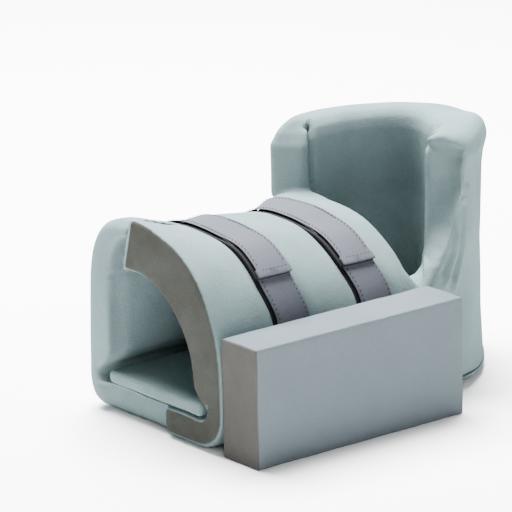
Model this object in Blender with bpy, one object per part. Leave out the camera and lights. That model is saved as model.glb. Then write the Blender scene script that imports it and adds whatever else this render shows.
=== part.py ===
"""Heel suspension boot: a thick folded foam boot with two pairs of straps and a foam block at its side.

The boot lies along X with its knee end at -X and its foot end at +X. The block lies along its -Y side.
The floor is Z = 0, and the origin is on the floor at the middle of the whole object. Metres.
"""

import math

import bmesh
import bpy
from mathutils import Vector

# Gap between faces that touch on the real object
GAP = 0.0003

# Whole boot
BOOT_LENGTH = 0.409
BOOT_WIDTH = 0.2155
RIM_HEIGHT = 0.251

# Leg wrap
WRAP_LENGTH = 0.254
WRAP_HEIGHT = 0.194
ANKLE_SETBACK = 0.005
BASE_THICK = 0.030
NEAR_WALL = 0.041
FAR_WALL = 0.047
FLAP_THICK = 0.046
TIP_THICK = 0.019
FLAP_REACH = 0.025
FLAP_SLANT = 0.013
SLIT = 0.0016
SHOULDER_START = 0.070
HOLLOW_START = 0.066
CORNER_RADIUS = 0.038
HOLLOW_RADIUS = 0.012
HOLLOW_FLARE = 0.020

# Foot wall
FOOT_WALL = 0.045
RIM_RADIUS = 0.018
FOOT_OVERHANG = 0.0065
FLANGE_RADIUS = 0.007
NOTCH_HEIGHT = 0.128
FAR_FLANGE_FRONT = 0.022
SOLE_THICK = 0.0115
SOLE_RADIUS = 0.006
SOLE_PROUD = 0.0015

# Elevation pad
PAD_LENGTH = 0.168
PAD_THICK = 0.0128
PAD_SETBACK = 0.003
PAD_RADIUS = 0.005

# Straps
STRAP_WIDTH = 0.039
STRAP_THICK = 0.003
STRAP_CLEARANCE = 0.0006
STRAP_SHIFT = 0.006
KNEE_STRAP_AT = 0.093
ANKLE_STRAP_AT = 0.197
LOWER_STRAP_START = 0.111
LOWER_STRAP_END = 0.172
UPPER_STRAP_START = 0.151
UPPER_STRAP_END = 0.062
ANKLE_LANDING_DROP = 0.010

# Block
BLOCK_LENGTH = 0.250
BLOCK_THICK = 0.051
BLOCK_HEIGHT = 0.116
BLOCK_SETBACK = 0.004
BLOCK_EDGE = 0.0012

# Places worked out from the sizes
KNEE_X = -BOOT_LENGTH / 2
WRAP_END_X = KNEE_X + WRAP_LENGTH
FOOT_START_X = WRAP_END_X + GAP
FOOT_LENGTH = BOOT_LENGTH - WRAP_LENGTH - GAP - FOOT_OVERHANG - SOLE_PROUD
HALF_WIDTH = BOOT_WIDTH / 2
STRAP_STAND = STRAP_CLEARANCE + STRAP_THICK
TOTAL_WIDTH = BLOCK_THICK + GAP + BOOT_WIDTH + STRAP_STAND
BOOT_Y = TOTAL_WIDTH / 2 - STRAP_STAND - HALF_WIDTH
BLOCK_Y = -TOTAL_WIDTH / 2 + BLOCK_THICK / 2

# Leg wrap sections, from the knee end to the ankle. Lengths are shares of WRAP_LENGTH, WRAP_HEIGHT and
# HALF_WIDTH. near and far say how square each shoulder is, 2 for an ellipse. rise is how much higher the
# far shoulder stands.
# (along, height, crown across, near, far, rise)
WRAP_SECTIONS = [
    (0.00, 1.000, 0.09, 2.20, 3.6, 0.020),
    (0.09, 0.977, 0.09, 2.28, 3.3, 0.018),
    (0.19, 0.957, 0.09, 2.38, 2.8, 0.008),
    (0.27, 0.938, 0.09, 2.47, 2.6, 0.0),
    (0.42, 0.946, 0.09, 2.46, 2.5, 0.0),
    (0.57, 0.930, 0.09, 2.28, 2.5, 0.0),
    (0.69, 0.900, 0.10, 2.13, 2.6, 0.0),
    (0.83, 0.913, 0.12, 2.05, 3.6, 0.0),
    (1.00, 0.902, 0.17, 1.90, 6.0, 0.0),
]

# Foot wall seen from above, from the near front flange round the foot end to the far one. The outer face
# is in shares of FOOT_LENGTH and HALF_WIDTH, the lean from it to the inner face in shares of FOOT_WALL,
# and the rounding of the lower edge in shares of CORNER_RADIUS.
# (along, across, lean along, lean across, low round)
FOOT_PLAN = [
    (-0.30, -1.000, 0.00, 0.95, 1.00),
    (0.00, -1.000, 0.00, 0.95, 1.00),
    (0.26, -0.970, -0.14, 0.95, 0.90),
    (0.50, -0.810, -0.55, 0.80, 0.55),
    (0.71, -0.540, -0.90, 0.45, 0.22),
    (0.87, -0.270, -1.05, 0.22, 0.16),
    (0.97, 0.010, -1.10, 0.05, 0.16),
    (1.00, 0.180, -1.08, 0.00, 0.16),
    (0.97, 0.385, -1.05, -0.16, 0.16),
    (0.80, 0.660, -0.87, -0.48, 0.22),
    (0.52, 0.905, -0.62, -0.80, 0.55),
    (0.26, 0.972, -0.30, -0.94, 0.90),
    (0.00, 1.000, 0.00, -1.00, 1.00),
    (-0.30, 1.000, 0.00, -1.00, 1.00),
]

# Upright shape of the foot wall: how far it stands out at each height, in shares of RIM_HEIGHT and
# FOOT_OVERHANG.
# (up, out)
FOOT_PROFILE = [
    (0.00, 1.00),
    (0.10, 1.00),
    (0.28, 0.42),
    (0.45, -0.03),
    (0.60, 0.14),
    (0.75, 0.31),
    (0.87, 0.31),
    (0.91, 0.58),
    (1.00, 0.58),
]

# Near flange: how far its front edge stands back from the seam with the wrap, outside and inside, in shares
# of FOOT_LENGTH, by height above the notch in shares of the height from the notch to the rim.
# (up, outer back, inner back)
NEAR_FRONT = [
    (0.00, 0.03, 0.19),
    (0.04, 0.11, 0.22),
    (0.14, 0.18, 0.25),
    (0.30, 0.24, 0.28),
    (0.50, 0.30, 0.31),
    (0.75, 0.35, 0.33),
    (1.00, 0.38, 0.35),
]

# Rounding of the wrap's end edges
CUT_EDGE = 0.0012
BASE_END_ROUND = 0.012
FAR_END_ROUND = 0.024
ANKLE_ROUND = 0.009
SEAM_ROUND = 0.0004
NOTCH_BLEND = 0.016
FAR_BLEND = 0.024

# How much rounder the hollow is than the outside, at the near and the far shoulder
NEAR_EASE = 0.3
FAR_EASE = -0.2

# Rows round the wrap, from the flap's free edge over the crown, down the near wall, along the floor and up
# the far wall to its tip. Each stretch has its own count.
FLAP_ROWS = 2
NEAR_ROWS = 18
WALL_ROWS = 3
CORNER_ROWS = 5
FLOOR_ROWS = 5
FAR_ROWS = 14
WRAP_STATION = 0.0125
END_ANGLES = (0, 30, 60, 90)

# Foot wall details
SEAM_REACH = 0.008
FLANGE_FOOT = 0.152
FLANGE_STEP = 0.008
FAR_INNER_BACK = 0.008
FAR_TOP_ROUND = 0.024
FAR_TOP_SHARE = 0.98

# How finely the foot wall is drawn: columns round it, and heights up it as shares of the wall's own height
FOOT_COLUMNS = 40
FOOT_HEIGHTS = (0.0, 0.05, 0.13, 0.25, 0.38, 0.50, 0.51, 0.56, 0.60, 0.64, 0.70, 0.78, 0.86, 0.905, 0.93)
ROW_SPACE = 0.002
RIM_ANGLES = (35, 65, 90)
FRONT_ANGLES = (0, 45, 90)
FRONT_COLUMNS = 3
SOLE_LEVELS = (0.0, 0.16, 0.43, 0.75, 1.0)
PLAN_STEP = 0.05

# Shares of FOOT_LENGTH: where the flanges' own columns end, and over which the wall leaves the wrap's face
NEAR_FRONT_SPAN = 0.42
FAR_FRONT_SPAN = 0.30
FLUSH_SPAN = 0.30

# The upper strap steps down off the lower one: where and over how much of its path, in rows
STEP_START = 0.4
STEP_RUN = 2.0

SHARP_ANGLE = 40
HALVINGS = 40
FRONT_ROWS = 4.0

FOAM_COLOR = (0.52, 0.60, 0.60, 1.0)
BLOCK_COLOR = (0.56, 0.60, 0.63, 1.0)
STRAP_COLOR = (0.36, 0.36, 0.41, 1.0)


def clear_scene():
    for obj in list(bpy.data.objects):
        bpy.data.objects.remove(obj, do_unlink=True)


def make_material(name, color, roughness):
    material = bpy.data.materials.new(name)
    material.use_nodes = True
    shader = material.node_tree.nodes["Principled BSDF"]
    shader.inputs["Base Color"].default_value = color
    shader.inputs["Roughness"].default_value = roughness
    shader.inputs["Metallic"].default_value = 0.0
    return material


def smooth_step(value):
    value = min(max(value, 0.0), 1.0)
    return value * value * (3 - 2 * value)


def spline(rows, value):
    """The row at a value of its first column, on a smooth curve through the table's rows."""
    last = len(rows) - 1
    index = 0
    while index < last - 1 and rows[index + 1][0] <= value:
        index += 1
    low, high = rows[index], rows[index + 1]
    before, after = rows[max(index - 1, 0)], rows[min(index + 2, last)]
    part = (value - low[0]) / (high[0] - low[0])
    part = min(max(part, 0.0), 1.0)
    span = high[0] - low[0]
    result = []
    for k in range(len(low)):
        slope_low = (high[k] - before[k]) / (high[0] - before[0]) * span
        slope_high = (after[k] - low[k]) / (after[0] - low[0]) * span
        result.append(hermite(low[k], high[k], slope_low, slope_high, part))
    return result


def hermite(low, high, slope_low, slope_high, part):
    square, cube = part * part, part * part * part
    return (
        low * (2 * cube - 3 * square + 1)
        + slope_low * (cube - 2 * square + part)
        + high * (3 * square - 2 * cube)
        + slope_high * (cube - square)
    )


def path_point(rows, position):
    """A point on a smooth curve through the rows in their order, position 0 to the last row's number."""
    last = len(rows) - 1
    index = min(int(position), last - 1)
    part = position - index
    low, high = rows[index], rows[index + 1]
    before, after = rows[max(index - 1, 0)], rows[min(index + 2, last)]
    return [
        hermite(low[k], high[k], (high[k] - before[k]) / 2, (after[k] - low[k]) / 2, part)
        for k in range(len(low))
    ]


def power(value, exponent):
    return math.copysign(abs(value) ** exponent, value)


def new_piece(name, bm, material):
    bmesh.ops.recalc_face_normals(bm, faces=bm.faces)
    mesh = bpy.data.meshes.new(name)
    bm.to_mesh(mesh)
    bm.free()
    obj = bpy.data.objects.new(name, mesh)
    bpy.context.scene.collection.objects.link(obj)
    mesh.materials.append(material)
    mesh.shade_smooth()
    mesh.set_sharp_from_angle(angle=math.radians(SHARP_ANGLE))
    return obj


def add_grid(bm, rows):
    """Faces between neighbouring rows of vertices."""
    for low, high in zip(rows, rows[1:]):
        add_strip(bm, low, high)


def add_strip(bm, low, high):
    for k in range(len(low) - 1):
        bm.faces.new((low[k], low[k + 1], high[k + 1], high[k]))


def thick_sheet(outer, inner):
    """A closed solid between two grids of points of one size, joined along all four edges."""
    bm = bmesh.new()
    outer = [[bm.verts.new(point) for point in row] for row in outer]
    inner = [[bm.verts.new(point) for point in row] for row in inner]
    add_grid(bm, outer)
    add_grid(bm, inner)
    for index in (0, -1):
        add_strip(bm, outer[index], inner[index])
        add_strip(bm, [row[index] for row in outer], [row[index] for row in inner])
    return bm


def ring_solid(rings):
    """A closed solid through rings of points, with a flat face on the first and last ring."""
    bm = bmesh.new()
    rings = [[bm.verts.new(point) for point in ring] for ring in rings]
    add_grid(bm, [ring + ring[:1] for ring in rings])
    bm.faces.new(rings[0])
    bm.faces.new(rings[-1])
    return bm


class Section:
    """The wrap's section at one place along it: across from the boot's middle, and up from the floor."""

    def __init__(self, x):
        share = (x - KNEE_X) / WRAP_LENGTH
        _, height, crown, near, far, rise = spline(WRAP_SECTIONS, share)
        self.top = height * WRAP_HEIGHT
        self.far_top = (height + rise) * WRAP_HEIGHT
        self.crown = crown * HALF_WIDTH
        self.near = near
        self.far = far

    def outer(self, grow=0.0):
        top, side = self.top + grow, HALF_WIDTH + grow
        points = []
        for k in range(FLAP_ROWS):
            across = FLAP_REACH + (self.crown - FLAP_REACH) * k / FLAP_ROWS
            points.append((across, self.far_height(across, top, side)))
        points += self.shoulder(-1, side + self.crown, SHOULDER_START, top, self.near, NEAR_ROWS)
        points += straight(-side, SHOULDER_START, CORNER_RADIUS, WALL_ROWS)
        points += corner(-1, side, -grow, CORNER_RADIUS + grow, CORNER_ROWS)
        floor = side - CORNER_RADIUS
        for k in range(1, FLOOR_ROWS):
            points.append((-floor + 2 * floor * k / FLOOR_ROWS, -grow))
        points += corner(1, side, -grow, CORNER_RADIUS + grow, CORNER_ROWS)
        points += straight(side, CORNER_RADIUS, SHOULDER_START, WALL_ROWS)[1:]
        tip = FLAP_REACH + SLIT
        far_top = self.far_top + grow
        points += self.far_shoulder(side - self.crown, SHOULDER_START, far_top, self.far, tip)
        return points

    def far_height(self, across, top, side):
        share = (across - self.crown) / (side - self.crown)
        return SHOULDER_START + (top - SHOULDER_START) * (1 - share**self.far) ** (1 / self.far)

    def inner(self):
        top = self.top - FLAP_THICK
        points = []
        reach = FLAP_REACH + FLAP_SLANT
        for k in range(FLAP_ROWS):
            across = reach + (self.crown - reach) * k / FLAP_ROWS
            points.append((across, top))
        near_side = HALF_WIDTH - NEAR_WALL
        far_side = HALF_WIDTH - FAR_WALL
        points += self.shoulder(
            -1, near_side + self.crown, HOLLOW_START, top, self.near - NEAR_EASE, NEAR_ROWS
        )
        points += flare(-1, near_side, HOLLOW_FLARE)
        points += hollow_floor(near_side + HOLLOW_FLARE, far_side + HOLLOW_FLARE)
        points += list(reversed(flare(1, far_side, HOLLOW_FLARE)))[:-1]
        tip = FLAP_REACH + SLIT + FLAP_SLANT * TIP_THICK / FLAP_THICK
        points += self.far_shoulder(
            far_side - self.crown, HOLLOW_START, self.far_top - TIP_THICK, self.far - FAR_EASE, tip
        )
        return points

    def shoulder(self, side, reach, start, top, square, count):
        """From the crown down to the side wall."""
        points = []
        for k in range(count):
            angle = math.pi / 2 * k / count
            across = self.crown + side * reach * power(math.sin(angle), 2 / square)
            points.append((across, start + (top - start) * power(math.cos(angle), 2 / square)))
        return points

    def far_shoulder(self, reach, start, top, square, tip):
        """From the far wall up to the tip of its curl."""
        share = (tip - self.crown) / reach
        last = math.acos(share ** (square / 2))
        points = []
        for k in range(FAR_ROWS + 1):
            angle = last * k / FAR_ROWS
            across = self.crown + reach * power(math.cos(angle), 2 / square)
            points.append((across, start + (top - start) * power(math.sin(angle), 2 / square)))
        return points


def straight(across, start, end, count):
    return [(across, start + (end - start) * k / count) for k in range(count)]


def corner(side, reach, floor, radius, count):
    """A quarter round between a side wall and the floor. Side -1 goes down, side 1 goes up."""
    points = []
    for k in range(count + 1):
        angle = math.pi / 2 * (k / count if side < 0 else 1 - k / count)
        across = reach - radius * (1 - math.cos(angle))
        points.append((side * across, floor + radius * (1 - math.sin(angle))))
    return points


def flare(side, reach, out):
    """The hollow widens below the walls, down to the round above its floor."""
    low = BASE_THICK + HOLLOW_RADIUS
    points = []
    for k in range(WALL_ROWS):
        part = k / WALL_ROWS
        across = reach + out * part * part
        points.append((side * across, HOLLOW_START + (low - HOLLOW_START) * part))
    return points


def hollow_floor(near, far):
    points = corner(-1, near, BASE_THICK, HOLLOW_RADIUS, CORNER_ROWS)
    start, end = -near + HOLLOW_RADIUS, far - HOLLOW_RADIUS
    for k in range(1, FLOOR_ROWS):
        points.append((start + (end - start) * k / FLOOR_ROWS, BASE_THICK))
    return points + corner(1, far, BASE_THICK, HOLLOW_RADIUS, CORNER_ROWS)


def row_stretches():
    """The first row of each stretch of the wrap's outline, by name."""
    counts = [
        ("flap", FLAP_ROWS),
        ("near", NEAR_ROWS),
        ("near_wall", WALL_ROWS),
        ("near_corner", CORNER_ROWS + 1),
        ("floor", FLOOR_ROWS - 1),
        ("far_corner", CORNER_ROWS + 1),
        ("far_wall", WALL_ROWS - 1),
        ("far", FAR_ROWS + 1),
    ]
    starts, total = {}, 0
    for name, count in counts:
        starts[name] = total
        total += count
    starts["end"] = total
    return starts


ROWS = row_stretches()


def knee_round(row):
    """How much the knee end's outer edge is rounded at a row: sharp at the cut flap, soft below and far."""
    start = ROWS["near_corner"]
    end = ROWS["floor"]
    below = smooth_step((row - start) / (end - start))
    beyond = smooth_step((row - ROWS["far_corner"]) / (ROWS["far_wall"] - ROWS["far_corner"]))
    return CUT_EDGE + (BASE_END_ROUND - CUT_EDGE) * below + (FAR_END_ROUND - BASE_END_ROUND) * beyond


def free_edge(row, points):
    """1 where the ankle edge is free, 0 where it meets the foot wall."""
    across, up = points[row]
    if row < ROWS["near_wall"]:
        return smooth_step((up - (NOTCH_HEIGHT - NOTCH_BLEND)) / NOTCH_BLEND)
    if row >= ROWS["far"]:
        inside = HALF_WIDTH - FAR_WALL
        return smooth_step((inside - across) / FAR_BLEND + 0.5)
    return 0.0


def wrap_ring(x_of, inset_of, inner_limit):
    """One outer and one inner row of points. Each point's place along X and its inset are given by row."""
    outer, inner = [], []
    for row in range(ROWS["end"]):
        section = Section(x_of(row))
        out_point, in_point = section_points(section, row)
        between = in_point - out_point
        step = between.normalized()
        inset = inset_of(row)
        out_point = out_point + step * inset
        in_point = in_point - step * min(inset, inner_limit)
        outer.append((x_of(row), BOOT_Y + out_point.x, out_point.y))
        inner.append((x_of(row), BOOT_Y + in_point.x, in_point.y))
    return outer, inner


SECTION_CACHE = {}


def section_points(section, row):
    key = (section.top, section.far_top, section.crown, section.near, section.far)
    if key not in SECTION_CACHE:
        SECTION_CACHE[key] = (section.outer(), section.inner())
    outer, inner = SECTION_CACHE[key]
    return Vector(outer[row]), Vector(inner[row])


def build_leg_wrap(material):
    outer_rows, inner_rows = [], []
    ankle_points = Section(WRAP_END_X).outer()

    def end_x(row):
        return WRAP_END_X - ANKLE_SETBACK * free_edge(row, ankle_points)

    def ankle_round(row):
        return SEAM_ROUND + (ANKLE_ROUND - SEAM_ROUND) * free_edge(row, ankle_points)

    for degrees in END_ANGLES:
        angle = math.radians(degrees)
        ring = wrap_ring(
            lambda row: KNEE_X + knee_round(row) * (1 - math.cos(angle)),
            lambda row: knee_round(row) * (1 - math.sin(angle)),
            2 * CUT_EDGE,
        )
        outer_rows.append(ring[0])
        inner_rows.append(ring[1])
    start = KNEE_X + FAR_END_ROUND
    end = WRAP_END_X - ANKLE_SETBACK - ANKLE_ROUND
    count = round((end - start) / WRAP_STATION)
    for k in range(1, count):
        x = start + (end - start) * k / count
        ring = wrap_ring(lambda row: x, lambda row: 0.0, 0.0)
        outer_rows.append(ring[0])
        inner_rows.append(ring[1])
    for degrees in reversed(END_ANGLES):
        angle = math.radians(degrees)
        ring = wrap_ring(
            lambda row: end_x(row) - ankle_round(row) * (1 - math.cos(angle)),
            lambda row: ankle_round(row) * (1 - math.sin(angle)),
            ANKLE_ROUND,
        )
        outer_rows.append(ring[0])
        inner_rows.append(ring[1])
    return new_piece("leg_wrap", thick_sheet(outer_rows, inner_rows), material)


def wrap_envelope():
    """The wrap's outer form, filled and grown by the gap: what the foot wall is cut back to."""
    rings = []
    start = KNEE_X + WRAP_LENGTH / 2
    end = FOOT_START_X
    count = round((end - start) / WRAP_STATION)
    for k in range(count + 1):
        x = start + (end - start) * k / count
        ring = Section(min(x, WRAP_END_X)).outer(GAP)
        rings.append([(x, BOOT_Y + across, up) for across, up in ring])
    cutter = new_piece("wrap_envelope", ring_solid(rings), None)
    cutter.hide_render = True
    cutter.display_type = "WIRE"
    return cutter


def plan_point(position):
    """Outer point, outward direction, inner point and low rounding at a position along FOOT_PLAN."""
    along, across, lean_along, lean_across, low = path_point(FOOT_PLAN, position)
    outer = Vector((along * FOOT_LENGTH, across * HALF_WIDTH))
    ahead = path_point(FOOT_PLAN, min(position + PLAN_STEP, len(FOOT_PLAN) - 1))
    behind = path_point(FOOT_PLAN, max(position - PLAN_STEP, 0))
    run = Vector(((ahead[0] - behind[0]) * FOOT_LENGTH, (ahead[1] - behind[1]) * HALF_WIDTH)).normalized()
    out = Vector((run.y, -run.x))
    inner = outer + Vector((lean_along, lean_across)) * FOOT_WALL
    return outer, out, inner, low * CORNER_RADIUS


def stand_out(up, along):
    """How far the foot's outer face stands out at a height. It starts flush with the wrap."""
    out = spline(FOOT_PROFILE, up / RIM_HEIGHT)[1] * FOOT_OVERHANG
    return out * smooth_step(along / (FLUSH_SPAN * FOOT_LENGTH))


def low_inset(up, radius):
    """How far the round of the lower edge takes the face in at a height."""
    radius = max(radius, SOLE_RADIUS)
    if up >= radius:
        return 0.0
    return radius - math.sqrt(radius * radius - (radius - up) ** 2)


def position_at(along, side):
    """The position on FOOT_PLAN's near or far arm that lies a length past the seam."""
    last = len(FOOT_PLAN) - 1
    low, high = 0.0, FRONT_ROWS
    for _ in range(HALVINGS):
        middle = (low + high) / 2
        position = middle if side < 0 else last - middle
        if path_point(FOOT_PLAN, position)[0] * FOOT_LENGTH < along:
            low = middle
        else:
            high = middle
    return low if side < 0 else last - low


def near_front(up):
    """How far past the seam the near flange starts, outside and inside."""
    if up < NOTCH_HEIGHT:
        return -SEAM_REACH, -SEAM_REACH
    _, outer, inner = spline(NEAR_FRONT, (up - NOTCH_HEIGHT) / (RIM_HEIGHT - NOTCH_HEIGHT))
    return outer * FOOT_LENGTH, inner * FOOT_LENGTH


def far_front(up):
    """The same for the far flange, which stands forward over the wrap and is rounded at its top."""
    part = smooth_step((up - FLANGE_FOOT) / FLANGE_STEP)
    outer = -SEAM_REACH + (SEAM_REACH - FAR_FLANGE_FRONT) * part
    rise = max(up - (RIM_HEIGHT - FAR_TOP_ROUND), 0.0)
    outer += FAR_TOP_ROUND - math.sqrt(FAR_TOP_ROUND**2 - FAR_TOP_SHARE * rise**2)
    return outer, outer + FAR_INNER_BACK * part


def foot_rows():
    """Height and inset of each row of the foot wall, from the sole to the top of the rim."""
    low, high = SOLE_THICK + GAP, RIM_HEIGHT - RIM_RADIUS
    rows = [(low + (RIM_HEIGHT - low) * share, 0.0) for share in FOOT_HEIGHTS]
    rows = [row for row in rows if row[0] < high - ROW_SPACE]
    rows.append((high, 0.0))
    for degrees in RIM_ANGLES:
        angle = math.radians(degrees)
        rows.append((high + RIM_RADIUS * math.sin(angle), RIM_RADIUS * (1 - math.cos(angle))))
    return rows


def column_positions(near, far):
    """Positions round the wall between its two fronts, with the first and last few following the fronts."""
    near_fixed = position_at(NEAR_FRONT_SPAN * FOOT_LENGTH, -1)
    far_fixed = position_at(FAR_FRONT_SPAN * FOOT_LENGTH, 1)
    middle = [
        near_fixed + (far_fixed - near_fixed) * k / FOOT_COLUMNS for k in range(FOOT_COLUMNS + 1)
    ]
    start = [near + (near_fixed - near) * (k / FRONT_COLUMNS) for k in range(FRONT_COLUMNS)]
    end = [far_fixed + (far - far_fixed) * (k / FRONT_COLUMNS) for k in range(1, FRONT_COLUMNS + 1)]
    return start + middle + end


def front_insets():
    """Rounding of the flanges' front edges: how far each of the first columns is set back, and taken in."""
    angles = [math.radians(degrees) for degrees in FRONT_ANGLES]
    return [(FLANGE_RADIUS * (1 - math.cos(a)), FLANGE_RADIUS * (1 - math.sin(a))) for a in angles]


def foot_face(up, inset, near_along, far_along, inside):
    """One row of points round the outer or inner face of the foot wall."""
    rounds = front_insets()
    starts = [(position_at(near_along + back, -1), taken) for back, taken in rounds]
    ends = [(position_at(far_along + back, 1), taken) for back, taken in reversed(rounds)]
    inner_positions = column_positions(starts[-1][0], ends[0][0])[1:-1]
    stops = starts + [(position, 0.0) for position in inner_positions] + ends
    points = []
    for position, taken in stops:
        outer, out, inner, low = plan_point(position)
        base = inner if inside else outer
        move = stand_out(up, outer.x) - low_inset(up, low)
        between = (inner - outer).normalized()
        if inside:
            point = base - between * (inset + taken)
        else:
            point = base + out * move + between * (inset + taken)
        points.append((FOOT_START_X + point.x, BOOT_Y + point.y, up))
    return points


def build_foot_wall(material, cutter):
    outer_rows, inner_rows = [], []
    for up, inset in foot_rows():
        near_outer, near_inner = near_front(up)
        far_outer, far_inner = far_front(up)
        outer_rows.append(foot_face(up, inset, near_outer, far_outer, False))
        inner_rows.append(foot_face(up, inset, near_inner, far_inner, True))
    obj = new_piece("foot_wall", thick_sheet(outer_rows, inner_rows), material)
    cut = obj.modifiers.new("wrap_seat", "BOOLEAN")
    cut.operation = "DIFFERENCE"
    cut.solver = "EXACT"
    cut.object = cutter
    return obj


def build_sole_pad(material):
    """The base layer under the foot wall, with the same lower edge."""
    rings = []
    first, last = position_at(0.0, -1), position_at(0.0, 1)
    for level in SOLE_LEVELS:
        up = level * SOLE_THICK
        ring = []
        for k in range(FOOT_COLUMNS + 1):
            position = first + (last - first) * k / FOOT_COLUMNS
            outer, out, _, low = plan_point(position)
            proud = SOLE_PROUD * smooth_step(outer.x / (FLUSH_SPAN * FOOT_LENGTH))
            point = outer + out * (stand_out(up, outer.x) + proud - low_inset(up, low))
            ring.append((max(FOOT_START_X + point.x, FOOT_START_X), BOOT_Y + point.y, up))
        rings.append(ring)
    return new_piece("sole_pad", ring_solid(rings), material)


def rounded_box(name, low, high, radius, segments, material):
    bm = bmesh.new()
    bmesh.ops.create_cube(bm, size=1.0)
    for vert in bm.verts:
        for axis in range(3):
            vert.co[axis] = high[axis] if vert.co[axis] > 0 else low[axis]
    bmesh.ops.bevel(
        bm,
        geom=list(bm.edges),
        offset=radius,
        segments=segments,
        profile=0.5,
        affect="EDGES",
    )
    return new_piece(name, bm, material)


def build_elevation_pad(material):
    near = HALF_WIDTH - NEAR_WALL + HOLLOW_FLARE - HOLLOW_RADIUS
    far = HALF_WIDTH - FAR_WALL + HOLLOW_FLARE - HOLLOW_RADIUS
    low = (KNEE_X + PAD_SETBACK, BOOT_Y - near + GAP, BASE_THICK + GAP)
    high = (low[0] + PAD_LENGTH, BOOT_Y + far - GAP, low[2] + PAD_THICK)
    return rounded_box("elevation_pad", low, high, PAD_RADIUS, 3, material)


def build_rotation_block(material):
    low = (KNEE_X + BLOCK_SETBACK, BLOCK_Y - BLOCK_THICK / 2, 0.0)
    high = (low[0] + BLOCK_LENGTH, BLOCK_Y + BLOCK_THICK / 2, BLOCK_HEIGHT)
    return rounded_box("rotation_block", low, high, BLOCK_EDGE, 1, material)


def strap_path(x):
    """The wrap's outline at one place along it, from low on the near wall over the top to the far wall."""
    ring = Section(x).outer()
    near = list(range(ROWS["near_wall"] + 1, -1, -1))
    far = list(range(ROWS["end"] - 2, ROWS["far_wall"] - 1, -1))
    return [Vector(ring[row]) for row in near + far]


def path_place(path, position):
    """The point and outward direction at a position along a path."""
    last = len(path) - 1
    index = min(int(position), last - 1)
    low, high = path[index], path[index + 1]
    point = low.lerp(high, position - index)
    before, after = path[max(index - 1, 0)], path[min(index + 2, last)]
    run_low = (high - before).normalized()
    run_high = (after - low).normalized()
    run = run_low.lerp(run_high, position - index).normalized()
    return point, Vector((-run.y, run.x))


def path_at_height(path, height, falling):
    """The position where the path passes a height, on its rising or its falling side."""
    steps = range(len(path) - 1)
    for index in reversed(steps) if falling else steps:
        low, high = path[index].y, path[index + 1].y
        if min(low, high) <= height <= max(low, high) and low != high:
            return index + (height - low) / (high - low)
    return len(path) - 1.0 if falling else 0.0


def strap_shift(height, falling):
    """A strap leans back towards the knee as it climbs the near wall."""
    if falling:
        return -STRAP_SHIFT
    return -STRAP_SHIFT * smooth_step((height - BLOCK_HEIGHT) / (SHOULDER_START / 2))


def build_strap(name, middle, start, end, lift_at, material):
    """A flat strap on the wrap between two positions on its path. lift_at gives its height off the foam."""
    count = math.ceil(end - start)
    crown = strap_path(middle)
    peak = max(range(len(crown)), key=lambda index: crown[index].y)
    rings = []
    for k in range(count + 1):
        position = start + (end - start) * k / count
        height = path_place(crown, position)[0].y
        shift = strap_shift(height, position > peak)
        low_side, high_side = [], []
        for edge in (-0.5, 0.0, 0.5):
            x = middle + shift + edge * STRAP_WIDTH
            point, out = path_place(strap_path(x), position)
            low = point + out * lift_at(position)
            high = low + out * STRAP_THICK
            low_side.append((x, BOOT_Y + low.x, low.y))
            high_side.append((x, BOOT_Y + high.x, high.y))
        rings.append(low_side + high_side[::-1])
    return new_piece(name, ring_solid(rings), material)


def build_strap_pair(label, along, drop, material):
    """The landing strap on the near wall, and the strap over the top whose end lies on it."""
    middle = KNEE_X + along
    path = strap_path(middle)
    low_start = path_at_height(path, LOWER_STRAP_START, False)
    low_end = path_at_height(path, LOWER_STRAP_END - drop, False)
    up_start = path_at_height(path, UPPER_STRAP_START - drop, False)
    up_end = path_at_height(path, UPPER_STRAP_END, True)
    over = STRAP_CLEARANCE + STRAP_THICK + GAP

    def upper_lift(position):
        part = smooth_step((position - low_end - STEP_START) / STEP_RUN)
        return over + (STRAP_CLEARANCE - over) * part

    build_strap(label + "_strap_lower", middle, low_start, low_end, lambda position: STRAP_CLEARANCE, material)
    build_strap(label + "_strap_upper", middle, up_start, up_end, upper_lift, material)


def main():
    clear_scene()
    foam = make_material("foam", FOAM_COLOR, 0.85)
    block_foam = make_material("block_foam", BLOCK_COLOR, 0.85)
    strap_cloth = make_material("strap_cloth", STRAP_COLOR, 0.9)
    build_leg_wrap(foam)
    build_foot_wall(foam, wrap_envelope())
    build_sole_pad(foam)
    build_elevation_pad(foam)
    build_rotation_block(block_foam)
    build_strap_pair("knee", KNEE_STRAP_AT, 0.0, strap_cloth)
    build_strap_pair("ankle", ANKLE_STRAP_AT, ANKLE_LANDING_DROP, strap_cloth)


main()
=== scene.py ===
"""Heel suspension boot: its foam shell, pads, straps and side block as they look, on a pale studio floor.

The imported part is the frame. X runs from the boot's knee end to its toe end, Z is up, metres. Across is
measured from the boot's middle plane, and the block stands at its near side. A ramp is a pair: where it
starts to climb, and how far on it is full.
"""

import math

import bpy
import numpy as np
from mathutils import Matrix, Vector
from mathutils.bvhtree import BVHTree

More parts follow.
